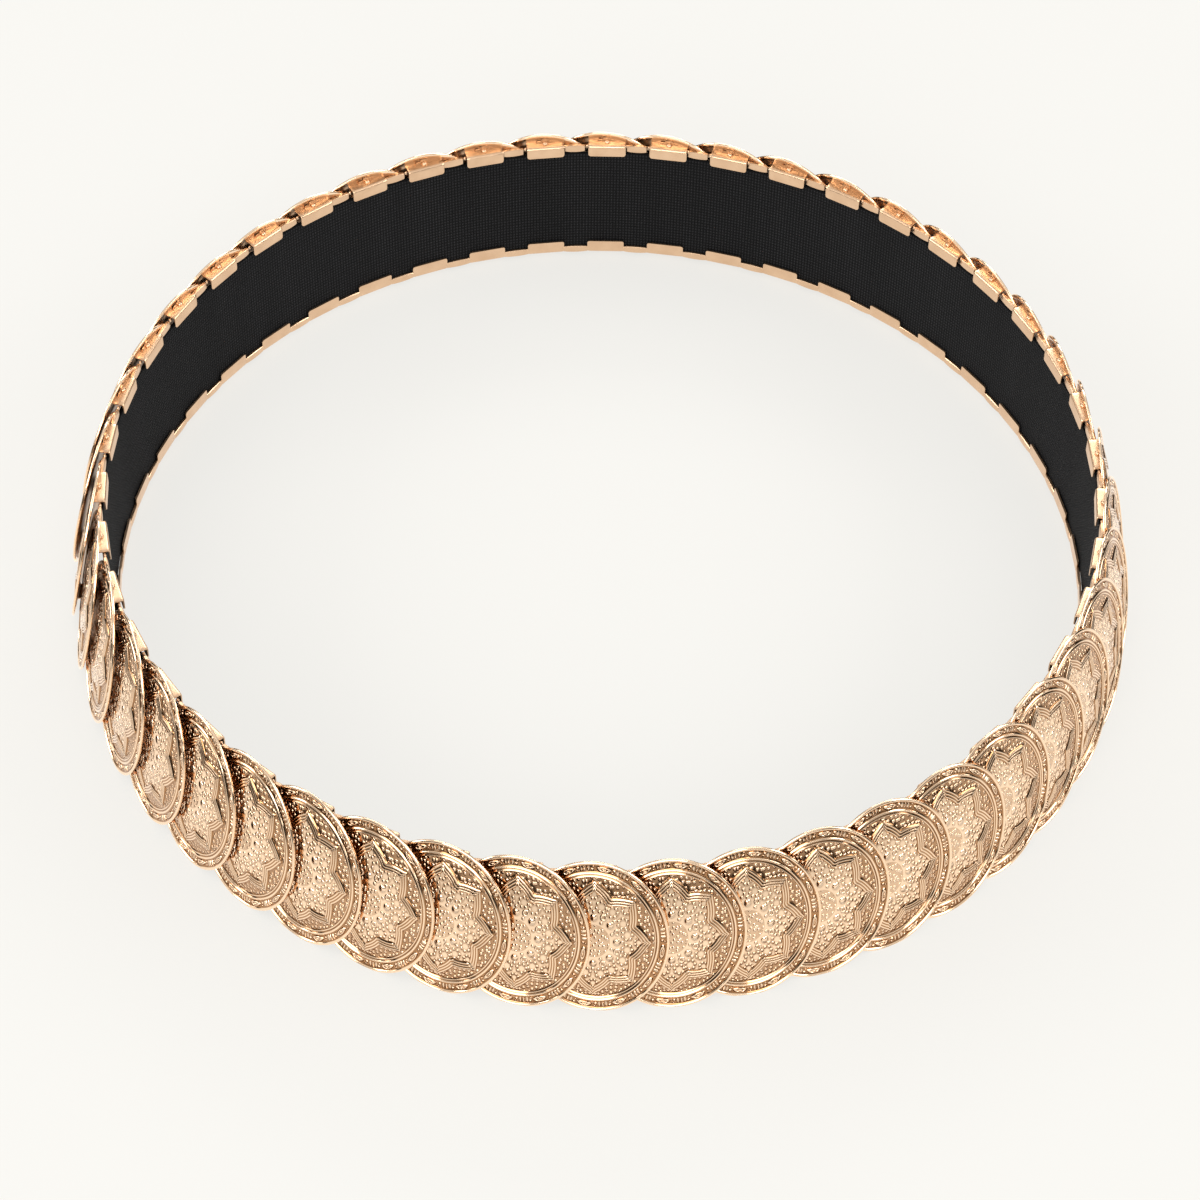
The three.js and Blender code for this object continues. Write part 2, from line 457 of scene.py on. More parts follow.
def tab_surface(sizes):
    """A pointed plate that stands on the upper fold and leans on the coin's back. Its width at each height
    over the fold follows the lists below, from its foot to its tip."""
    top = sizes.belt_height / 2
    rise = np.array([-0.3, 0.2, 0.7, 0.8, 1.5, 1.7]) * MM
    half_width = np.array([2.4, 2.4, 2.2, 1.2, 1.0, 0.7]) * MM
    back = coin_plane(top + rise, sizes) - TAB_BEHIND_RIM
    loops = []
    for depth in (-TAB_SHEET / 2, TAB_SHEET / 2):
        for side in (-1, 1):
            loops.append(np.stack([back + depth * sizes.clip_sheet, side * half_width, top + rise], axis=-1))
    rows = np.stack([loops[0], loops[1], loops[3], loops[2]], axis=1)
    faces = wrapped_grid(len(rise), 4).tolist()
    last = 4 * (len(rise) - 1)
    faces += [[3, 2, 1, 0], [last, last + 1, last + 2, last + 3]]
    points = rows.reshape(-1, 3)
    return points, outward_faces(points, faces)


def bead_surface(place, half_sizes, steps=10):
    """A closed bead round a place: a sphere of these half sizes, by its turn and its tilt."""
    tilt = np.linspace(-math.pi / 2, math.pi / 2, steps // 2 + 1)[1:-1]
    turn = np.arange(steps) * 2 * math.pi / steps
    ring = np.stack([np.outer(np.cos(tilt), np.cos(turn)), np.outer(np.cos(tilt), np.sin(turn)),
                     np.outer(np.sin(tilt), np.ones(steps))], axis=-1).reshape(-1, 3)
    points = np.vstack([ring, [(0, 0, -1), (0, 0, 1)]]) * half_sizes + np.array(place)
    faces = wrapped_grid(len(tilt), steps).tolist()
    count = len(ring)
    last = count - steps
    for k in range(steps):
        faces.append([count, (k + 1) % steps, k])
        faces.append([count + 1, last + k, last + (k + 1) % steps])
    return points, outward_faces(points, faces)


CORNER_POWER = 0.4
END_RING = 0.6


def spindle_surface(place, half_sizes, ends, steps=12):
    """A bar along the belt that swells in its middle: its section is a rounded rectangle, whose half sizes
    shrink towards the two ends with the root of one less the square of the way there. The section follows
    the cosine and the sine of a turn, each raised to a small power. The ring at each end is drawn in."""
    way = np.concatenate([[-1, -0.97], np.linspace(-0.85, 0.85, 9), [0.97, 1]])
    swell = ends + (1 - ends) * np.sqrt(1 - way ** 2)
    swell[[0, -1]] *= END_RING
    turn = (np.arange(steps) + 0.5) * 2 * math.pi / steps
    deep = np.sign(np.cos(turn)) * np.abs(np.cos(turn)) ** CORNER_POWER
    high = np.sign(np.sin(turn)) * np.abs(np.sin(turn)) ** CORNER_POWER
    bar = np.stack([np.outer(swell, deep), np.outer(way, np.ones(steps)), np.outer(swell, high)], axis=-1)
    points = (bar * half_sizes).reshape(-1, 3) + np.array(place)
    faces = wrapped_grid(len(way), steps).tolist()
    first = list(range(steps))
    last = [len(points) - steps + k for k in first]
    return points, outward_faces(points, faces + [first[::-1], last])


def link_surface(sizes):
    """The two links between neighbouring clips: a flat-topped bar over the elastic, with a knob towards each
    clip, and a lens along the elastic's foot."""
    inside, outside = elastic_radii()
    middle = (inside + outside) / 2
    top = sizes.belt_height / 2
    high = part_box("elastic_band")[1]
    edge = high[2] - middle_height() + SEAM_GAP
    half_length = (1 - CLIP_WIDTH) / 2 * sizes.pitch + LINK_LAP
    bar_top = top - 0.6 * MM
    bar = (0.55 * MM, half_length - 1.0 * MM, (bar_top - edge) / 2)
    bar_place = (middle + 0.1 * MM, 0.3 * MM, (bar_top + edge) / 2)
    knob = (0.4 * MM, 0.55 * MM, 0.5 * MM)
    knob_place = half_length - 0.7 * MM
    lens = (0.45 * MM, half_length, 1.05 * MM)
    foot = loop_radius(sizes) + 0.47 * MM
    return joined([
        spindle_surface(bar_place, bar, 0.7),
        bead_surface((middle, -knob_place, bar_top - 0.45 * MM), knob),
        bead_surface((middle, knob_place, bar_top - 0.45 * MM), knob),
        spindle_surface((foot, 0, lens[2] - top), lens, 0.6),
    ])


# The elastic

ELASTIC_SWELL = 0.04 * MM
HEIGHT_STEPS = 15
EDGE_STEPS = 7
STEPS_A_PITCH = 8


def elastic_surface():
    """The loop of elastic, and its flat places in metres.

    Round the section, the wall's two faces and its rounded edges follow one closed path. The radius swells
    a little between two clips, as the cosine of the angle times the number of clips."""
    low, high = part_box("elastic_band")
    half = (high[2] - low[2]) / 2
    centre = (high[2] + low[2]) / 2
    inside, outside = elastic_radii()
    middle = (inside + outside) / 2
    wall = (outside - inside) / 2 - ELASTIC_SWELL
    edge = np.linspace(0, math.pi, EDGE_STEPS)
    height = np.linspace(-1, 1, HEIGHT_STEPS) * (half - wall)
    section = np.concatenate([
        np.stack([np.full(HEIGHT_STEPS, -wall), height], axis=-1),
        np.stack([-wall * np.cos(edge), half - wall + wall * np.sin(edge)], axis=-1)[1:-1],
        np.stack([np.full(HEIGHT_STEPS, wall), height[::-1]], axis=-1),
        np.stack([wall * np.cos(edge), wall - half - wall * np.sin(edge)], axis=-1)[1:-1],
    ])
    columns = STEPS_A_PITCH * COIN_COUNT
    angle = np.arange(columns + 1) * 2 * math.pi / columns - math.pi / 2
    swell = ELASTIC_SWELL * (1 - np.cos((angle + math.pi / 2) * COIN_COUNT)) / 2
    radius = middle + swell[:, None] + section[None, :, 0]
    z = np.broadcast_to(section[None, :, 1], radius.shape) + centre
    points = np.stack([radius * np.cos(angle)[:, None], radius * np.sin(angle)[:, None], z], axis=-1)
    run = np.broadcast_to((angle * middle)[:, None], radius.shape)
    up = np.broadcast_to(section[None, :, 1], radius.shape)
    flat = np.stack([run, up], axis=-1)
    return points, flat


def elastic_mesh(material):
    """The elastic's mesh. Its first and last columns are one, and only its flat places part there."""
    points, flat = elastic_surface()
    columns, rows = points.shape[:2]
    columns -= 1
    places = points[:-1].reshape(-1, 3)
    column, row = np.meshgrid(np.arange(columns), np.arange(rows), indexing="ij")
    corners = [(column, row), (column + 1, row), (column + 1, (row + 1) % rows), (column, (row + 1) % rows)]
    quads = np.stack([(c % columns) * rows + r for c, r in corners], axis=-1).reshape(-1, 4)
    spread = np.stack([flat[c, r] for c, r in corners], axis=2).reshape(-1, 4, 2)
    outward = outward_faces(places, quads.tolist())
    if outward[0][0] != quads[0][0] or outward[0][1] != quads[0][1]:
        spread = spread[:, ::-1]
    mesh = mesh_of("elastic_loop", places, outward, [material])
    layer = mesh.uv_layers.new(name="cloth")
    layer.uv.foreach_set("vector", spread.reshape(-1).astype(np.float32))
    return mesh


# Materials

class Value:
    """A number that changes over a surface: a socket of a node tree, with the usual signs for sums."""

    def __init__(self, tree, socket):
        self.tree = tree
        self.socket = socket

    def math(self, operation, *others):
        node = self.tree.nodes.new("ShaderNodeMath")
        node.operation = operation
        for place, other in enumerate((self, *others)):
            if isinstance(other, Value):
                self.tree.links.new(other.socket, node.inputs[place])
            else:
                node.inputs[place].default_value = other
        return Value(self.tree, node.outputs[0])

    def __add__(self, other):
        return self.math("ADD", other)

    def __sub__(self, other):
        return self.math("SUBTRACT", other)

    def __mul__(self, other):
        return self.math("MULTIPLY", other)

    def __truediv__(self, other):
        return self.math("DIVIDE", other)

    def below(self, limit):
        return self.math("LESS_THAN", limit)

    def larger(self, other):
        return self.math("MAXIMUM", other)

    def hill(self, half_width):
        """A parabola that is 1 where this is 0, and 0 from the half width on."""
        share = self / half_width
        return (share * share * -1 + 1).larger(0)

    def folded(self, count):
        """This angle, folded into one of so many equal sectors, as the angle from its middle line."""
        sector = 2 * math.pi / count
        return (self + sector / 2).math("FLOORED_MODULO", sector) - sector / 2


def length(x, y):
    """The length of a vector of two values."""
    return (x * x + y * y).math("SQRT")


def group_tree(name, inputs, outputs):
    """An empty shader node group with these sockets, and its input and output nodes."""
    tree = bpy.data.node_groups.new(name, "ShaderNodeTree")
    for socket, kind, default in inputs:
        made = tree.interface.new_socket(socket, in_out="INPUT", socket_type=kind)
        if default is not None:
            made.default_value = default
    for socket, kind in outputs:
        tree.interface.new_socket(socket, in_out="OUTPUT", socket_type=kind)
    return tree, tree.nodes.new("NodeGroupInput"), tree.nodes.new("NodeGroupOutput")


def bead(x, y, place, radius):
    """A round bead of one unit's height at a place."""
    return length(x - place[0], y - place[1]).hill(radius)


def donut(x, y, place, radius, width):
    """A raised ring round a place."""
    return (length(x - place[0], y - place[1]) - radius).hill(width)


ROSETTE_DOTS = 7
BEAD_CELLS = 17  # to a coin's radius
MIDDLE_REACH = 0.22
INSIDE_RISE = 0.24  # the rises are in millimetres
FIELD_RISE = 0.28
SCROLL_RISE = 0.45


def rosette(x, y, place, radius, dot):
    """A ring of dots round a place, and the sunk band that they stand in."""
    aside = x - place[0]
    above = y - place[1]
    reach = length(aside, above)
    turn = above.math("ARCTAN2", aside).folded(ROSETTE_DOTS)
    dots = length(reach - radius, turn * reach).hill(dot) * 1.3
    return dots, (reach - radius).hill(1.7 * dot)


def on_ray(reach, degrees):
    """A place in a petal, from its distance to the coin's middle and its angle from the petal's axis."""
    return reach * math.cos(math.radians(degrees)), reach * math.sin(math.radians(degrees))


def coin_ornament():
    """The fine ornament of a coin, from its flat places and the kinds of ground.

    Each petal is folded on its axis, so what lies on the axis or on the petal's edge stands for eight, and
    what lies between them for sixteen. Beads are strewn, one in each cell, over the coin's middle and over
    the field between star and ring. The border repeats an eye with a bead in it, three bars and four beads.
    Hollow is what lies deep, where shade is painted on the plating: the ground between the field's beads and
    between the border's forms, and the sunk ground round the rosettes, the rings, the large beads and those
    of the middle."""
    name = "Stamped ornament"
    if name in bpy.data.node_groups:
        return bpy.data.node_groups[name]
    tree, source, sink = group_tree(
        name,
        [("Flat", "NodeSocketVector", None), ("Field", "NodeSocketFloat", 0.0),
         ("Ground", "NodeSocketFloat", 0.0), ("Border", "NodeSocketFloat", 0.0)],
        [("Height", "NodeSocketFloat"), ("Hollow", "NodeSocketFloat")])
    split = tree.nodes.new("ShaderNodeSeparateXYZ")
    tree.links.new(source.outputs["Flat"], split.inputs[0])
    x = Value(tree, split.outputs[0])
    y = Value(tree, split.outputs[1])
    field, ground, border = (Value(tree, source.outputs[n]) for n in ("Field", "Ground", "Border"))
    reach = length(x, y)
    angle = y.math("ARCTAN2", x)

    petal = angle.folded(PETALS).math("ABSOLUTE")
    px = reach * petal.math("COSINE")
    py = reach * petal.math("SINE")
    half = 180 / PETALS
    ornament, sunk = rosette(px, py, on_ray(0.6, 0), 0.055, 0.022)
    dots, band = rosette(px, py, on_ray(0.458, 12.7), 0.066, 0.0235)
    ornament = ornament.larger(dots)
    sunk = sunk.larger(band)
    for place, radius, rise in (
        (on_ray(0.385, 0), 0.027, 1.5),
        (on_ray(0.31, 0), 0.05, 2.6),
        (on_ray(0.262, half), 0.024, 1.3),
    ):
        ornament = ornament.larger(bead(px, py, place, radius) * rise)
        sunk = sunk.larger(bead(px, py, place, 1.45 * radius))
    ornament = ornament.larger(donut(px, py, on_ray(0.34, half), 0.033, 0.017) * 1.4)
    sunk = sunk.larger(bead(px, py, on_ray(0.34, half), 0.062))

    def strewn(randomness, radius):
        cells = tree.nodes.new("ShaderNodeTexVoronoi")
        cells.voronoi_dimensions = "2D"
        cells.inputs["Scale"].default_value = BEAD_CELLS
        cells.inputs["Randomness"].default_value = randomness
        tree.links.new(source.outputs["Flat"], cells.inputs["Vector"])
        return Value(tree, cells.outputs["Distance"]).hill(radius)

    ornament = ornament.larger(strewn(0.8, 0.4) * reach.below(MIDDLE_REACH - 0.01))
    sunk = sunk.larger(reach.below(MIDDLE_REACH) * 0.7)
    inside = ornament * ground
    strewn_field = strewn(0.6, 0.44) * field

    unit = 2 * math.pi * BORDER_REACH / BORDER_UNITS
    along = angle.math("FLOORED_MODULO", 2 * math.pi / BORDER_UNITS) * BORDER_REACH
    aside = reach - BORDER_REACH
    eye = length((along - 0.25 * unit) / 0.1, aside / 0.036)
    scroll = (eye - 0.72).hill(0.34).larger(eye.hill(0.4))
    for place in (0.62, 0.72, 0.82):
        bar = (along - place * unit).hill(0.019) * aside.math("ABSOLUTE").below(0.034)
        scroll = scroll.larger(bar)
    for place, off, radius in (
        (0.53, 0.014, 0.024), (0.93, -0.014, 0.024),
        (0.5, -0.024, 0.016), (0.96, 0.024, 0.016),
    ):
        scroll = scroll.larger(bead(along, aside, (place * unit, off), radius))
    scroll = scroll * border

    height = inside * INSIDE_RISE + strewn_field * FIELD_RISE + scroll * SCROLL_RISE
    tree.links.new(height.socket, sink.inputs["Height"])
    hollow = (field * (strewn_field * -1 + 1)).larger(border * (scroll * -1.6 + 1.15).larger(0))
    hollow = hollow.larger((sunk * ground - inside).larger(0) * 0.8)
    tree.links.new(hollow.socket, sink.inputs["Hollow"])
    return tree


def noise(tree, place, scale, detail=2):
    """Soft noise at a place, with about so many grains to each unit of it at the coarsest."""
    node = tree.nodes.new("ShaderNodeTexNoise")
    node.inputs["Scale"].default_value = scale
    node.inputs["Detail"].default_value = detail
    tree.links.new(place, node.inputs["Vector"])
    return Value(tree, node.outputs["Fac"])


def blend(tree, first, second, share, target):
    """Feeds a shader's socket with a mix of two colours, the second one by this share."""
    mix = tree.nodes.new("ShaderNodeMix")
    mix.data_type = "RGBA"
    mix.inputs["A"].default_value = (*first, 1)
    mix.inputs["B"].default_value = (*second, 1)
    tree.links.new(share.socket, mix.inputs["Factor"])
    tree.links.new(mix.outputs["Result"], target)


def scaled(colour, share):
    """A colour with each channel at this share of its value."""
    return [share * channel for channel in colour]


def worn_plating():
    """Faint cloudiness and fine hairlines of a polished plating, at the places that it is given."""
    name = "Worn plating"
    if name in bpy.data.node_groups:
        return bpy.data.node_groups[name]
    tree, source, sink = group_tree(
        name, [("Place", "NodeSocketVector", None)],
        [("Cloud", "NodeSocketFloat"), ("Hairlines", "NodeSocketFloat")])
    cloud = noise(tree, source.outputs["Place"], 260, 4)
    tree.links.new(cloud.socket, sink.inputs["Cloud"])
    lines = noise(tree, source.outputs["Place"], 2600)
    tree.links.new(lines.socket, sink.inputs["Hairlines"])
    return tree


def shader_of(name):
    """A new material with its Principled shader."""
    material = bpy.data.materials.new(name)
    material.use_nodes = True
    tree = material.node_tree
    return material, tree, tree.nodes["Principled BSDF"]


def placed_group(tree, group):
    """A node of this group in a material's tree."""
    node = tree.nodes.new("ShaderNodeGroup")
    node.node_tree = group
    return node


CLOUD_ROUGHNESS = 0.16
PLAIN_ROUGHNESS = 0.2
HAIRLINE_HEIGHT = 0.003
CLOUD_TARNISH = 0.3
# Painted shade: the share of the dark brown in the ornament's hollows, and in its grooves, which is also the
# most that any place takes.
HOLLOW_SHADE = 0.78
MOST_SHADE_AND_TARNISH = 0.92


def gold_finish(name, colours, stamped, darkening=0.0):
    """Rose-gold plating: polished, a little cloudy, darkened by a given share, and with the stamped ornament
    on a coin's face, where painted shade darkens the hollows and grooves most. What isn't stamped is
    rougher."""
    if name in bpy.data.materials:
        return bpy.data.materials[name]
    material, tree, shader = shader_of(name)
    shader.inputs["Metallic"].default_value = 1
    place = tree.nodes.new("ShaderNodeTexCoord")
    wear = placed_group(tree, worn_plating())
    tree.links.new(place.outputs["Object"], wear.inputs["Place"])
    cloud = Value(tree, wear.outputs["Cloud"])
    roughness = (cloud - 0.5) * CLOUD_ROUGHNESS + colours.polish
    height = Value(tree, wear.outputs["Hairlines"]) * HAIRLINE_HEIGHT
    if not stamped:
        roughness = roughness + PLAIN_ROUGHNESS
    # The given darkening: an even duller tone on the clips, painted shade on the coins' backs.
    share = (cloud - 0.5) * CLOUD_TARNISH + darkening
    if stamped:
        flat = tree.nodes.new("ShaderNodeUVMap")
        flat.uv_map = "coin"
        kinds = tree.nodes.new("ShaderNodeAttribute")
        kinds.attribute_name = "ornament"
        split = tree.nodes.new("ShaderNodeSeparateColor")
        tree.links.new(kinds.outputs["Color"], split.inputs[0])
        centred = tree.nodes.new("ShaderNodeMapping")
        centred.inputs["Location"].default_value = (-1, -1, 0)
        centred.inputs["Scale"].default_value = (2, 2, 1)
        tree.links.new(flat.outputs[0], centred.inputs["Vector"])
        ornament = placed_group(tree, coin_ornament())
        tree.links.new(centred.outputs[0], ornament.inputs["Flat"])
        for socket, name_of in zip(split.outputs, ("Field", "Ground", "Border")):
            tree.links.new(socket, ornament.inputs[name_of])
        height = height + Value(tree, ornament.outputs["Height"])
        groove = Value(tree, kinds.outputs["Alpha"])
        groove = (groove * 2).math("MINIMUM", 1)
        # Painted shade: the ornament's hollows and grooves take the dark brown, as shade that falls among
        # the relief.
        share = share + Value(tree, ornament.outputs["Hollow"]) * HOLLOW_SHADE + groove * MOST_SHADE_AND_TARNISH
    share = share.larger(0).math("MINIMUM", MOST_SHADE_AND_TARNISH)
    blend(tree, colours.gold, colours.tarnish_and_shade, share, shader.inputs["Base Color"])
    tree.links.new(roughness.socket, shader.inputs["Roughness"])
    bump = tree.nodes.new("ShaderNodeBump")
    bump.inputs["Distance"].default_value = MM
    bump.inputs["Strength"].default_value = 1
    tree.links.new(height.socket, bump.inputs["Height"])
    tree.links.new(bump.outputs[0], shader.inputs["Normal"])
    return material


WEFT_STEP = 1.18  # from one weft thread to the next, in steps of the warp


def woven_elastic(sizes, colours):
    """Black elastic: a fine grid of thread crossings, each a small hump with a painted highlight, with
    uneven yarn and faint bands of painted crease shade down the belt."""
    material, tree, shader = shader_of("Woven elastic")
    shader.inputs["Sheen Weight"].default_value = 0.015
    shader.inputs["Sheen Roughness"].default_value = 0.5
    shader.inputs["Specular IOR Level"].default_value = 0.08
    flat = tree.nodes.new("ShaderNodeUVMap")
    flat.uv_map = "cloth"
    split = tree.nodes.new("ShaderNodeSeparateXYZ")
    tree.links.new(flat.outputs[0], split.inputs[0])
    turn = math.pi / sizes.thread
    warp = (Value(tree, split.outputs[0]) * turn).math("SINE")
    weft = (Value(tree, split.outputs[1]) * (turn / WEFT_STEP)).math("SINE")
    crossing = (warp * weft).math("ABSOLUTE")
    weave = crossing * crossing
    uneven = noise(tree, flat.outputs[0], 900, 3)
    stretch = tree.nodes.new("ShaderNodeMapping")
    stretch.inputs["Scale"].default_value = (1.6, 0.15, 1)
    tree.links.new(flat.outputs[0], stretch.inputs["Vector"])
    # Painted shade: faint bands down the belt, where creases would shade it.
    band = noise(tree, stretch.outputs[0], 60)
    # The colour paints the crossings lit and the gaps between them shaded; the uneven yarn is the thread's
    # own tone.
    shade = weave * (uneven + 0.2) * (band + 0.35)
    dark = scaled(colours.elastic, 0.3)
    light = scaled(colours.elastic, 3.4)
    blend(tree, dark, light, shade, shader.inputs["Base Color"])
    tree.links.new((uneven * 0.15 + 0.78).socket, shader.inputs["Roughness"])
    bump = tree.nodes.new("ShaderNodeBump")
    bump.inputs["Distance"].default_value = 0.4 * MM
    tree.links.new((weave + uneven * 0.4).socket, bump.inputs["Height"])
    tree.links.new(bump.outputs[0], shader.inputs["Normal"])
    return material


LIT_RADIUS = 0.16
DARK_RADIUS = 0.32
FAR_LOSS = 0.94
REFLECTED_GLOW = 1.25


def floor_finish(colours):
    """A pale studio floor that is partly lit from within, so shadows on it stay faint. In reflections it
    glows more near the belt and falls off with the distance from its middle, as a table under a small
    lamp does."""
    material, tree, shader = shader_of("Pale floor")
    shader.inputs["Roughness"].default_value = 1
    shader.inputs["Specular IOR Level"].default_value = 0
    shader.inputs["Emission Strength"].default_value = REFLECTED_GLOW
    place = tree.nodes.new("ShaderNodeTexCoord")
    split = tree.nodes.new("ShaderNodeSeparateXYZ")
    tree.links.new(place.outputs["Object"], split.inputs[0])
    distance = length(Value(tree, split.outputs[0]), Value(tree, split.outputs[1]))
    far = ((distance - LIT_RADIUS) / (DARK_RADIUS - LIT_RADIUS)).larger(0).math("MINIMUM", 1)
    rays = tree.nodes.new("ShaderNodeLightPath")
    glossy = Value(tree, rays.outputs["Is Glossy Ray"])
    dimmed = far * FAR_LOSS * glossy
    held_back = (glossy * -1 + 1) * (1 - 1 / REFLECTED_GLOW) + dimmed
    for socket, share, black in (("Base Color", 0.14, dimmed), ("Emission Color", 0.77, held_back)):
        blend(tree, scaled(colours.floor, share), (0, 0, 0), black, shader.inputs[socket])
    return material


# Operators

POLISHED_BACK_ROWS = 3  # rows behind the rim that have the face's finish
# Painted shade: how far the coins' backs are darkened towards the dark brown.
BACK_SHADE = 0.5
CLIP_TARNISH = 0.42
SHARP_ANGLE = math.radians(35)


class COINBELT_OT_coins(bpy.types.Operator):
    """Make the embossed coins"""

    bl_idname = "coin_belt.coins"
    bl_label = "Embossed coins"

    def execute(self, context):
        sizes = context.scene.coin_belt_sizes
        finish = gold_finish("Stamped rose gold", context.scene.coin_belt_colours, True)
        # The backs are darkened towards the dark brown as painted shade.
        back = gold_finish("Coin backs", context.scene.coin_belt_colours, False, BACK_SHADE)
        points, flat, kinds, rows, face_rows = coin_surface(sizes)
        first = mesh_of("coin_pattern", points, coin_faces(rows), [finish, back])
        side = np.zeros(len(first.polygons), np.int32)
        side[(face_rows + POLISHED_BACK_ROWS) * COIN_SIDES:] = 1
        # The fan at the middle of the face comes after the quads of the back.
        side[(rows - 1) * COIN_SIDES:rows * COIN_SIDES] = 0
        first.polygons.foreach_set("material_index", side)
        corner = np.empty(len(first.loops), np.int32)
        first.loops.foreach_get("vertex_index", corner)
        layer = first.uv_layers.new(name="coin")
        layer.uv.foreach_set("vector", (0.5 + 0.5 * flat[corner]).reshape(-1).astype(np.float32))
        ornament = first.attributes.new("ornament", "FLOAT_COLOR", "POINT")
        ornament.data.foreach_set("color", kinds.reshape(-1).astype(np.float32))
        for index, node in enumerate(COIN_NODES):
            mesh = first.copy()
            mesh.name = f"stamped_{node}"
            mesh.vertices.foreach_set("co", round_the_belt(points, index).reshape(-1))
            mesh.update()
            piece_of(mesh, "coins", node)
        bpy.data.meshes.remove(first)
        return {"FINISHED"}


class COINBELT_OT_clips(bpy.types.Operator):
    """Make the clips and the links between them"""

    bl_idname = "coin_belt.clips"
    bl_label = "Clips and links"

    def execute(self, context):
        sizes = context.scene.coin_belt_sizes
        finish = gold_finish("Plain rose gold", context.scene.coin_belt_colours, False, CLIP_TARNISH)
        for label, surface, turn in (
            ("clips", clip_surface(sizes), 0.0),
            ("links", link_surface(sizes), -PITCH_ANGLE / 2),
        ):
            points, faces = surface
            for index, node in enumerate(COIN_NODES):
                placed = round_the_belt(points, index, turn)
                mesh = mesh_of(f"{label}_{node[-2:]}", placed, faces, [finish], SHARP_ANGLE)
                piece_of(mesh, "coins", node)
        return {"FINISHED"}


class COINBELT_OT_elastic(bpy.types.Operator):
    """Make the loop of woven elastic"""

    bl_idname = "coin_belt.elastic"
    bl_label = "Woven elastic"

    def execute(self, context):
        sizes = context.scene.coin_belt_sizes
        material = woven_elastic(sizes, context.scene.coin_belt_colours)
        piece = piece_of(elastic_mesh(material), "elastic", "elastic_band")
        return {"FINISHED"}


def softbox(name, place, aim, size, power):
    """A soft rectangular lamp at a place, turned to a point."""
    lamp = bpy.data.lights.new(name, "AREA")
    lamp.shape = "RECTANGLE"
    lamp.size, lamp.size_y = size
    lamp.energy = power
    lamp.color = LAMP_COLOUR
    holder = bpy.data.objects.new(name, lamp)
    holder.location = place
    holder.rotation_euler = (Vector(aim) - Vector(place)).to_track_quat("-Z", "Y").to_euler()
    holder.visible_camera = False
    bpy.context.scene.collection.objects.link(holder)


CAMERA_RISE = math.radians(48.31)
CAMERA_ROLL = math.radians(0.945)
CAMERA_PLACE = (0.0001, -0.5462, 0.60503)
CAMERA_LENS = 99.23


def studio_camera():
    """The camera at the photograph's angle: it looks down on the belt, rolled by about a degree."""
    back = Vector((0, -math.cos(CAMERA_RISE), math.sin(CAMERA_RISE)))
    right = Vector((1, 0, 0))
    up = Vector((0, math.sin(CAMERA_RISE), math.cos(CAMERA_RISE)))
    side = math.cos(CAMERA_ROLL) * right + math.sin(CAMERA_ROLL) * up
    top = math.cos(CAMERA_ROLL) * up - math.sin(CAMERA_ROLL) * right
    lens = bpy.data.cameras.new("Studio camera")
    lens.lens = CAMERA_LENS
    lens.sensor_width = 36
    lens.clip_start = 0.01
    camera = bpy.data.objects.new("Studio camera", lens)
    turned = Matrix((side, top, back)).transposed().to_4x4()
    camera.matrix_world = Matrix.Translation(CAMERA_PLACE) @ turned
    bpy.context.scene.collection.objects.link(camera)
    bpy.context.scene.camera = camera


SKY_COLOUR = (1.0, 0.98, 0.95)
HORIZON_COLOUR = (0.02, 0.018, 0.016)
LAMP_COLOUR = (1, 0.985, 0.96)


def studio_world():
    """Plain soft light from all round: bright overhead and dimmer towards the horizon."""
    world = bpy.data.worlds.new("Studio")
    bpy.context.scene.world = world
    world.use_nodes = True
    tree = world.node_tree
    place = tree.nodes.new("ShaderNodeTexCoord")
    split = tree.nodes.new("ShaderNodeSeparateXYZ")
    tree.links.new(place.outputs["Generated"], split.inputs[0])
    ramp = tree.nodes.new("ShaderNodeValToRGB")
    stops = ramp.color_ramp.elements
    stops[1].color = (*SKY_COLOUR, 1)
    stops[0].color = (*HORIZON_COLOUR, 1)
    for position, share in ((0.12, 0.03), (0.3, 0.3), (0.55, 0.95)):
        stop = stops.new(position)
        stop.color = (*scaled(SKY_COLOUR, share), 1)
    tree.links.new(split.outputs[2], ramp.inputs[0])
    background = tree.nodes["Background"]
    tree.links.new(ramp.outputs[0], background.inputs["Color"])
    background.inputs["Strength"].default_value = 0.9


FLOOR_HALF_WIDTH = 3.0


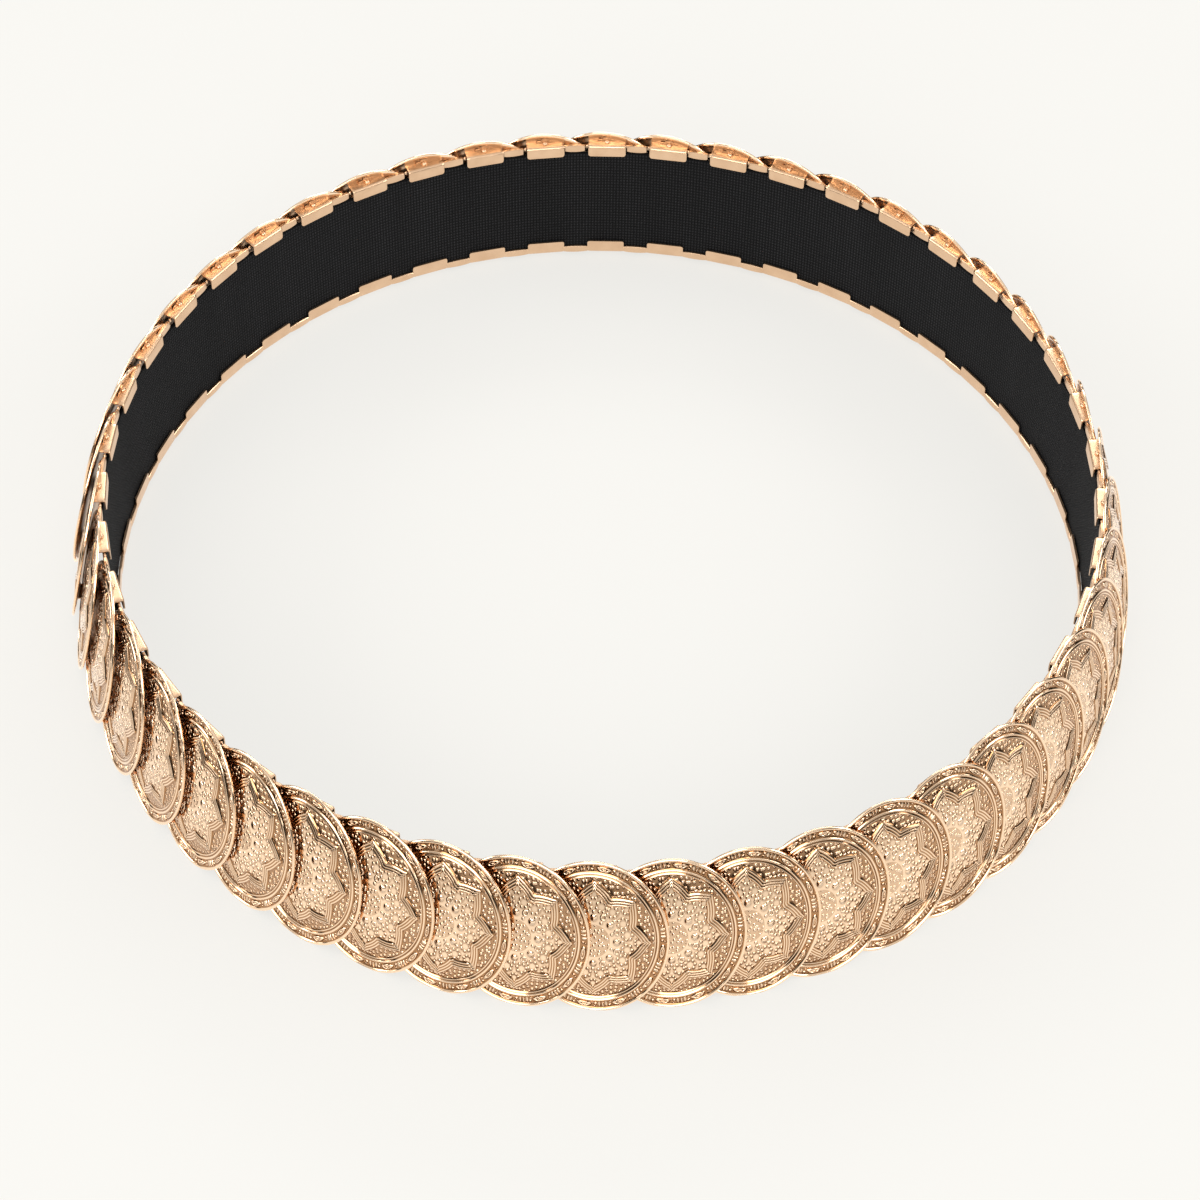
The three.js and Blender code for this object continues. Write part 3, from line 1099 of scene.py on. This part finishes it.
class COINBELT_OT_stage(bpy.types.Operator):
    """Make the floor, the soft lights and the camera"""

    bl_idname = "coin_belt.stage"
    bl_label = "Studio"

    def execute(self, context):
        corners = FLOOR_HALF_WIDTH * np.array([(-1, -1, 0), (1, -1, 0), (1, 1, 0), (-1, 1, 0)], float)
        finish = floor_finish(context.scene.coin_belt_colours)
        floor = bpy.data.objects.new("floor", mesh_of("floor", corners, [[0, 1, 2, 3]], [finish]))
        context.scene.collection.objects.link(floor)
        softbox("Front softbox", (-0.25, -1.3, 0.75), (0, 0, 0), (1.5, 0.6), 17)
        softbox("Left softbox", (-1.3, 0.1, 0.7), (0, 0, 0), (1.0, 0.4), 10)
        softbox("Right softbox", (1.3, -0.1, 0.8), (0, 0, 0), (1.2, 0.5), 12)
        softbox("Back softbox", (0.1, 1.3, 0.9), (0, 0, 0), (1.2, 0.4), 10)
        for name, place in (
            ("Front strip", (0.1, -0.75, 0.13)), ("Left strip", (-0.75, -0.1, 0.13)),
            ("Right strip", (0.75, -0.15, 0.13)), ("Back strip", (0, 0.75, 0.13)),
        ):
            softbox(name, place, (0, 0, 0.03), (0.7, 0.07), 0.5)
        studio_world()
        studio_camera()
        context.scene.view_settings.view_transform = "Standard"
        context.scene.view_settings.look = "None"
        return {"FINISHED"}


class COINBELT_PT_pieces(bpy.types.Panel):
    """The belt's pieces, in the order in which they are made"""

    bl_idname = "COINBELT_PT_pieces"
    bl_label = "Coin belt"
    bl_space_type = "VIEW_3D"
    bl_region_type = "UI"
    bl_category = "Coin belt"

    def draw(self, context):
        for group in (context.scene.coin_belt_sizes, context.scene.coin_belt_colours):
            for name in group.__annotations__:
                self.layout.prop(group, name)
        for operator in (COINBELT_OT_coins, COINBELT_OT_clips, COINBELT_OT_elastic, COINBELT_OT_stage):
            self.layout.operator(operator.bl_idname)


CLASSES = (
    CoinBeltSizes, CoinBeltColours, COINBELT_OT_coins, COINBELT_OT_clips, COINBELT_OT_elastic,
    COINBELT_OT_stage, COINBELT_PT_pieces,
)


def register():
    for kind in CLASSES:
        bpy.utils.register_class(kind)
    bpy.types.Scene.coin_belt_sizes = bpy.props.PointerProperty(type=CoinBeltSizes)
    bpy.types.Scene.coin_belt_colours = bpy.props.PointerProperty(type=CoinBeltColours)


def unregister():
    del bpy.types.Scene.coin_belt_colours
    del bpy.types.Scene.coin_belt_sizes
    for kind in reversed(CLASSES):
        bpy.utils.unregister_class(kind)


def main():
    """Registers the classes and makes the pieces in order."""
    register()
    bpy.ops.coin_belt.coins()
    bpy.ops.coin_belt.clips()
    bpy.ops.coin_belt.elastic()
    bpy.ops.coin_belt.stage()


if __name__ == "__main__":
    main()
